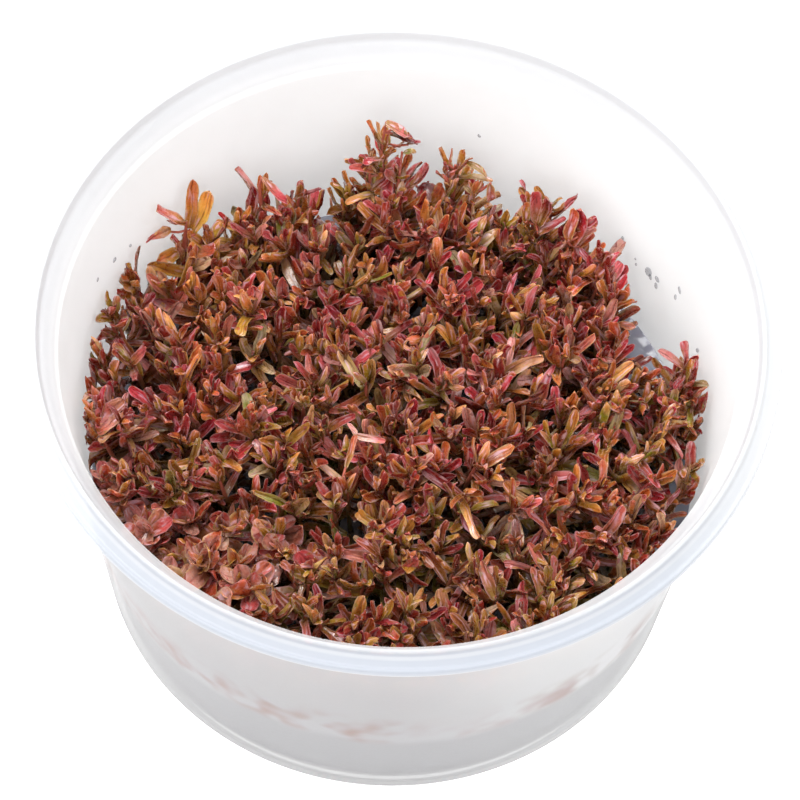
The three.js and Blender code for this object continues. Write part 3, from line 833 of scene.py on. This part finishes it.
singleLeaves = {
    # leaves that stand out in the photo: foot and tip in mm, width, roll in degrees, form, tint, luck
    "bed": [    # these grow on the low clump that stands nearest
        ((-6.2, -10.4, 36.2), (-5.2, -6.6, 38.2), 0.9, 0, 4, 0.55, 0.95),
        ((-5.2, -6.8, 38.2), (-6.4, -5.0, 38.8), 0.8, 0, 2, 0.54, 0.9),
        ((-5.2, -6.8, 38.1), (-0.8, -7.4, 38.2), 1.0, 20, 4, 0.53, 0.95),
        ((-37.2, -1.2, 34.6), (-41.6, -6.6, 37.0), 2.4, -25, 7, 0.5, 0.95),
        ((-37.0, -2.8, 34.4), (-40.2, -7.4, 35.4), 1.8, -15, 6, 0.62, 0.9)],
    "clump_44": [
        ((-30.4, 26.6, 35.9), (-29.9, 31.0, 42.3), 1.75, 5, 2, 0.6, 0.35),
        ((-29.6, 26.4, 35.1), (-27.1, 30.4, 40.9), 2.1, -10, 4, 0.78, 0.9),
        ((-31.1, 26.0, 38.2), (-35.5, 24.5, 42.5), 2.1, -12, 4, 0.36, 0.8),
        ((-32.9, 25.0, 37.4), (-37.6, 24.0, 37.2), 1.9, -25, 2, 0.12, 0.6),
        ((-30.7, 26.0, 38.6), (-33.1, 24.0, 39.1), 1.5, 30, 8, 0.92, 0.2),
        ((-31.9, 25.0, 32.4), (-35.1, 22.5, 33.0), 2.0, -20, 7, 0.62, 0.9),
        ((-30.2, 25.5, 31.5), (-25.8, 24.5, 34.0), 2.2, 14, 4, 0.5, 0.7),
        ((-33.0, 16.0, 29.4), (-35.9, 20.5, 35.5), 1.9, 0, 2, 1.0, 0.7),
        ((-32.0, 15.5, 30.3), (-29.5, 19.5, 34.4), 1.6, 10, 2, 0.3, 0.6),
        ((-31.4, 24.0, 31.4), (-32.7, 24.5, 35.4), 1.3, 0, 4, 0.9, 0.4),
        ((-30.8, 23.5, 30.2), (-28.0, 21.5, 31.0), 1.6, 0, 3, 0.9, 0.6)],
    "clump_38": [
        ((18.3, 30.5, 36.6), (17.1, 32.5, 42.0), 1.9, 0, 2, 0.3, 0.7),
        ((16.9, 30.0, 37.7), (16.2, 31.0, 41.1), 1.4, 0, 2, 0.56, 0.8),
        ((18.7, 29.4, 38.0), (20.6, 32.0, 44.5), 1.5, 10, 0, 0.08, 0.5),
        ((18.6, 28.6, 37.0), (21.6, 29.4, 40.6), 1.6, 0, 3, 0.16, 0.3)],
    "clump_51": [
        ((23.2, 27.4, 36.4), (25.0, 30.0, 42.3), 2.5, -8, 4, 0.2, 0.6),
        ((22.7, 27.0, 38.0), (23.4, 30.0, 42.6), 1.6, 0, 4, 0.66, 0.8),
        ((23.8, 28.0, 38.8), (26.8, 29.4, 40.9), 1.5, 20, 6, 0.1, 0.5),
        ((24.1, 27.5, 38.4), (26.4, 29.0, 38.8), 0.9, 0, 2, 0.62, 0.7),
        ((24.5, 27.0, 36.8), (26.6, 29.0, 37.2), 1.0, 0, 2, 0.68, 0.6),
        ((26.0, 25.0, 36.6), (27.9, 27.0, 38.0), 1.1, 0, 2, 0.7, 0.7),
        ((27.0, 23.4, 35.0), (29.8, 26.0, 37.6), 2.2, -10, 7, 0.34, 0.8),
        ((28.0, 22.5, 34.6), (30.2, 25.0, 36.6), 1.6, 15, 4, 0.46, 0.9),
        ((29.4, 20.6, 33.6), (31.3, 23.0, 37.0), 1.1, 0, 2, 0.2, 0.7),
        ((30.0, 18.6, 34.4), (32.8, 20.0, 34.8), 1.7, -20, 7, 0.68, 0.5),
        ((30.0, 17.0, 32.0), (33.0, 17.6, 31.2), 1.4, 0, 6, 0.74, 0.6)],
    "clump_36": [
        ((-23.6, 28.6, 29.5), (-27.4, 28.0, 34.2), 1.3, 0, 10, 0.78, 1.0),
        ((-24.1, 28.0, 29.3), (-27.9, 27.0, 32.9), 1.2, 0, 10, 1.0, 1.0),
        ((-23.8, 28.6, 33.0), (-26.2, 28.6, 36.0), 1.1, 0, 3, 0.78, 1.0),
        ((-23.4, 28.4, 32.3), (-23.8, 30.6, 37.2), 1.2, 0, 2, 0.5, 0.3),
        ((-23.1, 28.6, 35.6), (-21.4, 29.5, 38.7), 1.2, 0, 4, 0.62, 0.7)],
    "clump_49": [
        ((-22.1, 30.0, 33.0), (-22.2, 33.0, 38.6), 1.6, 0, 2, 0.04, 0.2),
        ((-21.2, 32.0, 36.3), (-20.9, 33.6, 40.7), 1.0, 0, 2, 0.72, 0.9),
        ((-20.7, 32.4, 36.3), (-20.0, 34.0, 40.5), 1.0, 0, 2, 0.84, 0.9),
        ((-20.6, 32.0, 37.4), (-18.7, 32.6, 40.4), 1.1, 0, 4, 0.72, 0.9),
        ((-20.6, 31.5, 33.6), (-19.5, 32.6, 38.1), 1.3, 0, 4, 0.2, 0.5),
        ((-16.1, 32.5, 36.4), (-13.1, 31.5, 40.6), 0.75, 40, 3, 0.0, 0.0),
        ((-20.6, 32.0, 41.8), (-16.3, 30.5, 38.3), 1.3, 10, 3, 0.3, 0.9),
        ((-15.3, 33.5, 33.5), (-14.7, 34.5, 39.1), 0.7, 0, 4, 0.5, 1.0),
        ((-17.1, 30.0, 30.6), (-16.9, 32.0, 35.5), 1.5, 0, 4, 0.26, 0.6)],
    "clump_41": [
        ((-4.5, 37.0, 45.2), (-6.7, 38.4, 48.4), 0.95, 0, 2, 0.56, 0.95),
        ((-4.2, 37.0, 45.0), (-5.0, 38.4, 48.3), 0.85, 0, 2, 0.92, 0.9),
        ((-3.6, 37.0, 44.8), (-3.8, 38.2, 47.9), 1.15, 0, 2, 0.8, 0.95),
        ((-4.4, 37.0, 43.8), (-6.0, 37.4, 46.9), 1.2, 0, 4, 0.56, 0.8),
        ((-3.6, 36.4, 50.6), (0.2, 35.4, 48.6), 1.9, -10, 7, 0.42, 0.9),
        ((-2.6, 36.2, 49.4), (0.6, 35.6, 46.2), 2.2, -35, 6, 0.04, 0.0),
        ((-0.4, 36.0, 46.2), (1.4, 35.4, 47.8), 1.2, -20, 2, 0.1, 0.4),
        ((-1.8, 36.8, 44.6), (0.4, 36.0, 48.0), 1.1, 0, 4, 0.56, 0.3),
        ((-1.2, 36.8, 43.3), (0.7, 36.4, 44.5), 1.1, 0, 3, 1.0, 0.9),
        ((-4.5, 35.8, 39.1), (-7.7, 34.9, 42.9), 1.4, 0, 3, 0.46, 0.7),
        ((-5.4, 36.2, 40.6), (-6.3, 36.8, 43.5), 1.1, 0, 4, 0.92, 0.9),
        ((-3.9, 34.6, 35.8), (-9.0, 32.6, 36.8), 1.1, 0, 3, 0.8, 0.8),
        ((-1.0, 30.4, 33.7), (-3.6, 33.2, 38.9), 1.8, 0, 2, 0.14, 0.6),
        ((-6.4, 35.6, 38.1), (-9.0, 36.2, 41.5), 1.2, 0, 2, 0.3, 0.7),
        ((-8.0, 35.0, 34.4), (-9.7, 36.2, 39.0), 1.1, 0, 2, 0.8, 0.9),
        ((-9.0, 35.0, 33.3), (-11.1, 35.8, 37.4), 1.1, 0, 2, 0.56, 0.8),
        ((-5.9, 36.0, 39.1), (-7.8, 36.8, 41.5), 0.9, 0, 4, 0.8, 0.9),
        ((0.2, 35.2, 37.4), (3.5, 36.0, 41.0), 2.0, -10, 4, 0.3, 0.9),
        ((-0.5, 33.0, 34.0), (0.5, 35.0, 37.4), 1.9, 10, 2, 0.5, 0.4),
        ((-2.7, 36.2, 48.4), (0.2, 36.0, 46.9), 2.4, -20, 6, 0.06, 0.0),
        ((-3.6, 35.8, 39.3), (-1.0, 36.6, 41.9), 1.7, 0, 4, 0.32, 0.8),
        ((-5.2, 34.4, 37.0), (-2.4, 35.6, 39.0), 2.0, 0, 4, 0.14, 0.5)],
    "clump_46": [
        ((5.5, 37.0, 40.5), (3.7, 37.8, 43.7), 1.0, 0, 4, 0.72, 0.6),
        ((6.8, 37.0, 39.9), (8.1, 37.8, 43.6), 1.2, 0, 4, 0.86, 0.9),
        ((6.9, 36.8, 37.8), (11.3, 35.4, 40.7), 1.2, 0, 3, 0.86, 0.7),
        ((8.1, 36.8, 41.6), (11.2, 35.0, 41.5), 1.1, 0, 3, 0.86, 0.4),
        ((0.6, 35.6, 37.8), (3.4, 36.0, 41.5), 1.7, -10, 4, 0.4, 0.6),
        ((11.5, 34.6, 40.1), (11.7, 33.6, 35.8), 1.3, 0, 3, 0.6, 0.8),
        ((5.1, 36.8, 39.3), (6.4, 36.8, 42.6), 1.4, 30, 8, 0.36, 0.5),
        ((2.7, 30.5, 33.0), (1.4, 30.5, 36.1), 1.5, 0, 11, 0.56, 0.9),
        ((3.1, 30.5, 33.0), (4.3, 30.5, 35.9), 1.5, 0, 11, 0.4, 0.9),
        ((2.6, 30.0, 32.7), (3.3, 31.6, 34.9), 1.5, 40, 8, 0.6, 0.9),
        ((5.1, 33.6, 36.4), (1.6, 35.4, 37.7), 2.7, -20, 7, 0.05, 0.0),
        ((2.9, 33.0, 35.8), (5.3, 34.4, 39.0), 2.2, 0, 6, 0.66, 0.1),
        ((3.1, 30.6, 32.8), (4.1, 31.4, 36.8), 1.7, 30, 8, 0.42, 0.9)],
}


def shootPath(foot, tip, dice):
    # points down the stem from its tip, one at each pair of leaves and then into the gel
    foot, tip = Vector(foot), Vector(tip)
    knee = Vector((foot.x, foot.y, foot.z + (tip.z - foot.z) * 0.5))
    knee += Vector((dice.uniform(-1, 1), dice.uniform(-1, 1), 0))
    under = tip - Vector(((tip.x - foot.x) * 0.35, (tip.y - foot.y) * 0.35, (tip.z - foot.z) * 0.22))
    curve = [tip * (1 - t) ** 3 + under * 3 * t * (1 - t) ** 2 + knee * 3 * t * t * (1 - t) + foot * t ** 3
             for t in np.linspace(0, 1, 80)]
    runs = np.concatenate([[0], np.cumsum([(b - a).length for a, b in zip(curve, curve[1:])])])
    marks, at, i = [0.0], 0.0, 0
    while at < runs[-1]:
        at += rotala["internodes"][min(i, len(rotala["internodes"]) - 1)] * dice.uniform(0.85, 1.15)
        i += 1
        marks.append(min(at, runs[-1]))
    spots = [Vector([float(np.interp(m, runs, [p[k] for p in curve])) for k in range(3)]) for m in marks]
    return spots, marks


def nodeFoot(node):
    # where a clump's solid leaves the gel, where it ends on top, and how high that is, in mm
    points = np.array([v.co for v in frame["nodes"][node].data.vertices]) / mm
    high = points[:, 2].max()
    foot, crown = points[points[:, 2] < gel["top"] - 1], points[points[:, 2] > high - 1.2]
    return foot[:, :2].mean(0), crown[:, :2].mean(0), float(high)


def inWall(spot, z):
    far, room = math.hypot(*spot), wallAt(z) - cup["wall"] - rotala["wallRoom"]
    return spot if far <= room else spot * (room / far)


def plantedBed(nodes):
    # stems thrown over the bed with room between them, each given to the clump that stands nearest
    dice = random.Random(rotala["seed"])
    feet = {node: nodeFoot(node) for node in nodes}
    low = [node for node in nodes if node not in tallShoots]
    shared, stood = {node: [] for node in nodes}, []
    oldAt, (middleX, middleY), stray = rotala["oldAt"], rotala["bedCentre"], rotala["companyStray"]
    for node, shoots in tallShoots.items():
        foot, crown, high = feet[node]
        for x, y, z, naked in shoots["tips"]:
            tip = np.array([x, y])
            stand = inWall(foot + (tip - crown) * 0.7, gel["top"])
            stood.append(stand)
            shared[node].append((stand, inWall(tip, z), z, oldAt["tall"], naked))
            for friend in range(rotala["company"]):
                under, aside = z - dice.uniform(2.5, 8.0), np.array([dice.gauss(0, stray), dice.uniform(-4.0, 0.5)])
                base = inWall(stand + aside * 0.8, gel["top"])
                shared[node].append((base, inWall(tip + aside, under), under, oldAt["company"], 0))
    for tries in range(rotala["tries"]):
        far, angle = rotala["bedRadius"] * math.sqrt(dice.random()), dice.uniform(0, math.tau)
        spot = np.array([middleX + far * math.cos(angle), middleY + far * math.sin(angle)])
        if any(math.hypot(spot[0] - x, spot[1] - y) < r for x, y, r in rotala["bare"]):
            continue
        if any((spot[0] - o[0]) ** 2 + (spot[1] - o[1]) ** 2 < rotala["spacing"] ** 2 for o in stood):
            continue
        owner = min(low, key=lambda node: np.hypot(*(feet[node][0] - spot)))
        if np.hypot(*(feet[owner][0] - spot)) > rotala["clumpReach"]:
            continue
        stood.append(spot)
        swell = math.sin(spot[0] * 0.31 + 1.0) * math.sin(spot[1] * 0.37 + 0.4) * 1.2    # the bed isn't level
        top = feet[owner][2] - rotala["crown"] - max(0.0, dice.triangular(0.0, 4.5, 0.8) + swell)
        aside = np.array([dice.gauss(0, rotala["tipStray"]), dice.gauss(0, rotala["tipStray"])])
        tip = inWall(spot * rotala["flare"] + aside, top)
        shared[owner].append((inWall(spot, gel["top"]), tip, top, oldAt["bed"], 0))
    print("stems planted:", sum(map(len, shared.values())), "fewest in a clump", min(map(len, shared.values())))
    return shared, feet


def clumpPiece(node, index, stems, feet):
    dice = random.Random(rotala["seed"] + index)
    foot, stem = feet[node][0], rotala["stem"] * mm
    vertices, edges, thick, leafy, age, turn = [], [], [], [], [], []
    for stand, tip, top, full, naked in stems:
        spots, marks = shootPath((*stand, gel["top"] - rotala["gelDepth"]), (*tip, top), dice)
        first, yaw = len(vertices), dice.uniform(0, math.tau)
        for i, (spot, mark) in enumerate(zip(spots, marks)):
            vertices.append(spot * mm)
            thick.append(stem * (0.55 + 0.45 * min(1, mark / 5)))
            leafy.append(1.0 if spot.z > rotala["lowestLeaf"] and mark >= naked else 0.0)
            age.append(min(1.0, mark / full))
            turn.append(yaw + i * math.pi / 2)
            if i:
                edges.append((first + i - 1, first + i))
    single = list(singleLeaves.get(node, []))
    low = [other for other in feet if other not in tallShoots]
    if node in low:
        for row in singleLeaves["bed"]:
            if node == min(low, key=lambda other: np.hypot(*(feet[other][0] - np.array(row[0][:2])))):
                single.append(row)
    seats = [Vector(row[0]) * mm for row in single]
    for seat in seats:    # a twig from the nearest stem below carries each single leaf
        under = [v for v in vertices if v.z < seat.z - 0.3 * mm] or vertices
        root = min(under, key=lambda v: (v - seat).length + (v - seat).xy.length * 0.6)
        bow = (root + seat) / 2 + Vector((0, 0, -0.12 * (root - seat).xy.length))
        first = len(vertices)
        vertices += [seat.copy(), bow, root.copy()]
        thick += [stem * 0.5, stem * 0.55, stem * 0.6]
        leafy += [0.0] * 3
        age += [0.3] * 3
        turn += [0.0] * 3
        edges += [(first, first + 1), (first + 1, first + 2)]
    # each single leaf also has a point of its own, which carries its turn, size, form and colour
    spare = len(vertices)
    piece = plainObject("rotalaClump" + node.split("_")[1], vertices + seats, edges)
    turns, spans, forms = [0.0] * (3 * spare), [0.0] * (3 * spare), [0] * spare
    tints, lucks = [0.5] * spare, [0.5] * spare
    for start, end, wide, roll, form, tint, luck in single:
        course = Vector(end) - Vector(start)
        turns += [math.radians(roll), -math.asin(course.z / course.length), math.atan2(course.y, course.x)]
        spans += [course.length * mm, wide * mm / aspect, course.length * mm]
        forms.append(form), tints.append(tint), lucks.append(luck)
    more = len(single)
    for label, values in (("thick", thick + [0] * more), ("leafy", leafy + [0] * more), ("turn", turn + [0] * more),
                          ("leafAge", age + [0.1] * more), ("leafTint", tints), ("leafLuck", lucks)):
        writeAttribute(piece, label, "FLOAT", values)
    writeAttribute(piece, "seat", "BOOLEAN", [False] * spare + [True] * more)
    writeAttribute(piece, "seatTurn", "FLOAT_VECTOR", turns)
    writeAttribute(piece, "seatSize", "FLOAT_VECTOR", spans)
    writeAttribute(piece, "seatForm", "INT", forms)
    broad = foot[0] < broadCorner and foot[1] < broadCorner
    habit = {**(broadLeaves if broad else slimLeaves), **tallShoots.get(node, {})}
    runTree(piece, rotalaShoots, {
        "Blades": bladeShelf, "Leaf length": habit["length"] * mm, "Leaf width": habit["width"] * mm,
        "Rise at tip": habit["rise"], "Rise low": 0.15, "First form": habit["firstForm"], "Last form": 9,
        "Tint low": habit["tint"][0], "Tint high": habit["tint"][1], "Gel level": (gel["top"] + 0.3) * mm,
        "Wall foot": (wallAt(0) - cup["wall"]) * mm, "Wall slope": cup["slope"],
        "Leaf finish": leafSkins[slotOfNode[node]], "Stem finish": stemSkin, "Seed": rotala["seed"] + index * 20})
    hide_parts(node)
    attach(piece, "root")
    return piece


rotalaShoots = shootTree()
clumpNodes = sorted(n for n in frame["nodes"] if n.startswith("clump_"))
shared, feet = plantedBed(clumpNodes)
clumps = [clumpPiece(node, i, shared[node], feet) for i, node in enumerate(clumpNodes)]
for blade in list(bladeShelf.objects):
    bpy.data.objects.remove(blade)
bpy.data.collections.remove(bladeShelf)
triangles = sum(len(p.vertices) - 2 for clump in clumps for p in clump.data.polygons)
print("rotala planted:", len(clumps), "clumps,", triangles, "triangles")


# floor, light and camera

light = {
    "sky": 1.18, "floorGlow": 0.3, "floorHalf": 1.5, "aim": (0, 0, 0.03),
    "lamps": {    # place and size in m, power in W
        "softboxAbove": ((-0.16, 0.12, 0.74), 0.35, 4.0),
        "frontSoftbox": ((-0.05, -0.55, 0.42), 0.45, 0.8),
        "glintLamp": ((-0.12, 0.42, 0.5), 0.03, 0.8)},
}


def paleFloor(half):
    floor = plainObject("paleFloor", [(-half, -half, 0), (half, -half, 0), (half, half, 0), (-half, half, 0)],
                        (), [(0, 1, 2, 3)])
    material, wire, shader = newMaterial("paleFloorPaint")
    grain = noise(wire, objectPlace(wire), 30.0, 3.0)
    feed(wire, shader, {
        "Base Color": mixed(wire, grain * 0.1, tone(250, 250, 250), tone(240, 240, 242)), "Roughness": 0.7,
        "Emission Color": (1.0, 1.0, 1.0, 1.0), "Emission Strength": light["floorGlow"]})
    floor.data.materials.append(material)


def softLight(name, place, size, power):
    lamp = bpy.data.lights.new(name, "AREA")
    lamp.shape, lamp.size, lamp.energy = "DISK", size, power
    made = bpy.data.objects.new(name, lamp)
    scene.collection.objects.link(made)
    made.location = place
    made.rotation_euler = (Vector(light["aim"]) - Vector(place)).to_track_quat("-Z", "Y").to_euler()


paleFloor(light["floorHalf"])
sky = bpy.data.worlds.new("paleSky")
sky.use_nodes = True
skyNode = next(n for n in sky.node_tree.nodes if n.type == "BACKGROUND")
skyNode.inputs["Color"].default_value = (1.0, 1.0, 1.0, 1.0)
skyNode.inputs["Strength"].default_value = light["sky"]
scene.world = sky
for lampName, setting in light["lamps"].items():
    softLight(lampName, *setting)

view = {    # place in mm, lens and film in mm
    "place": (0.53, -206.98, 383.33), "right": (0.9983, 0.0503, 0.0301), "up": (-0.0586, 0.8569, 0.5122),
    "lens": 133.7, "film": 36.0,
}
camera = bpy.data.cameras.new("photoCamera")
camera.sensor_width, camera.lens = view["film"], view["lens"]
camera.clip_start, camera.clip_end = 0.01, 20.0
cameraObject = bpy.data.objects.new("photoCamera", camera)
scene.collection.objects.link(cameraObject)
right, up = Vector(view["right"]).normalized(), Vector(view["up"])
back = right.cross(up).normalized()
up = back.cross(right)
axes = Matrix((right, up, back)).transposed().to_4x4()
cameraObject.matrix_world = Matrix.Translation(Vector(view["place"]) * mm) @ axes
scene.camera = cameraObject
scene.view_settings.view_transform = "Standard"
print("stage set")
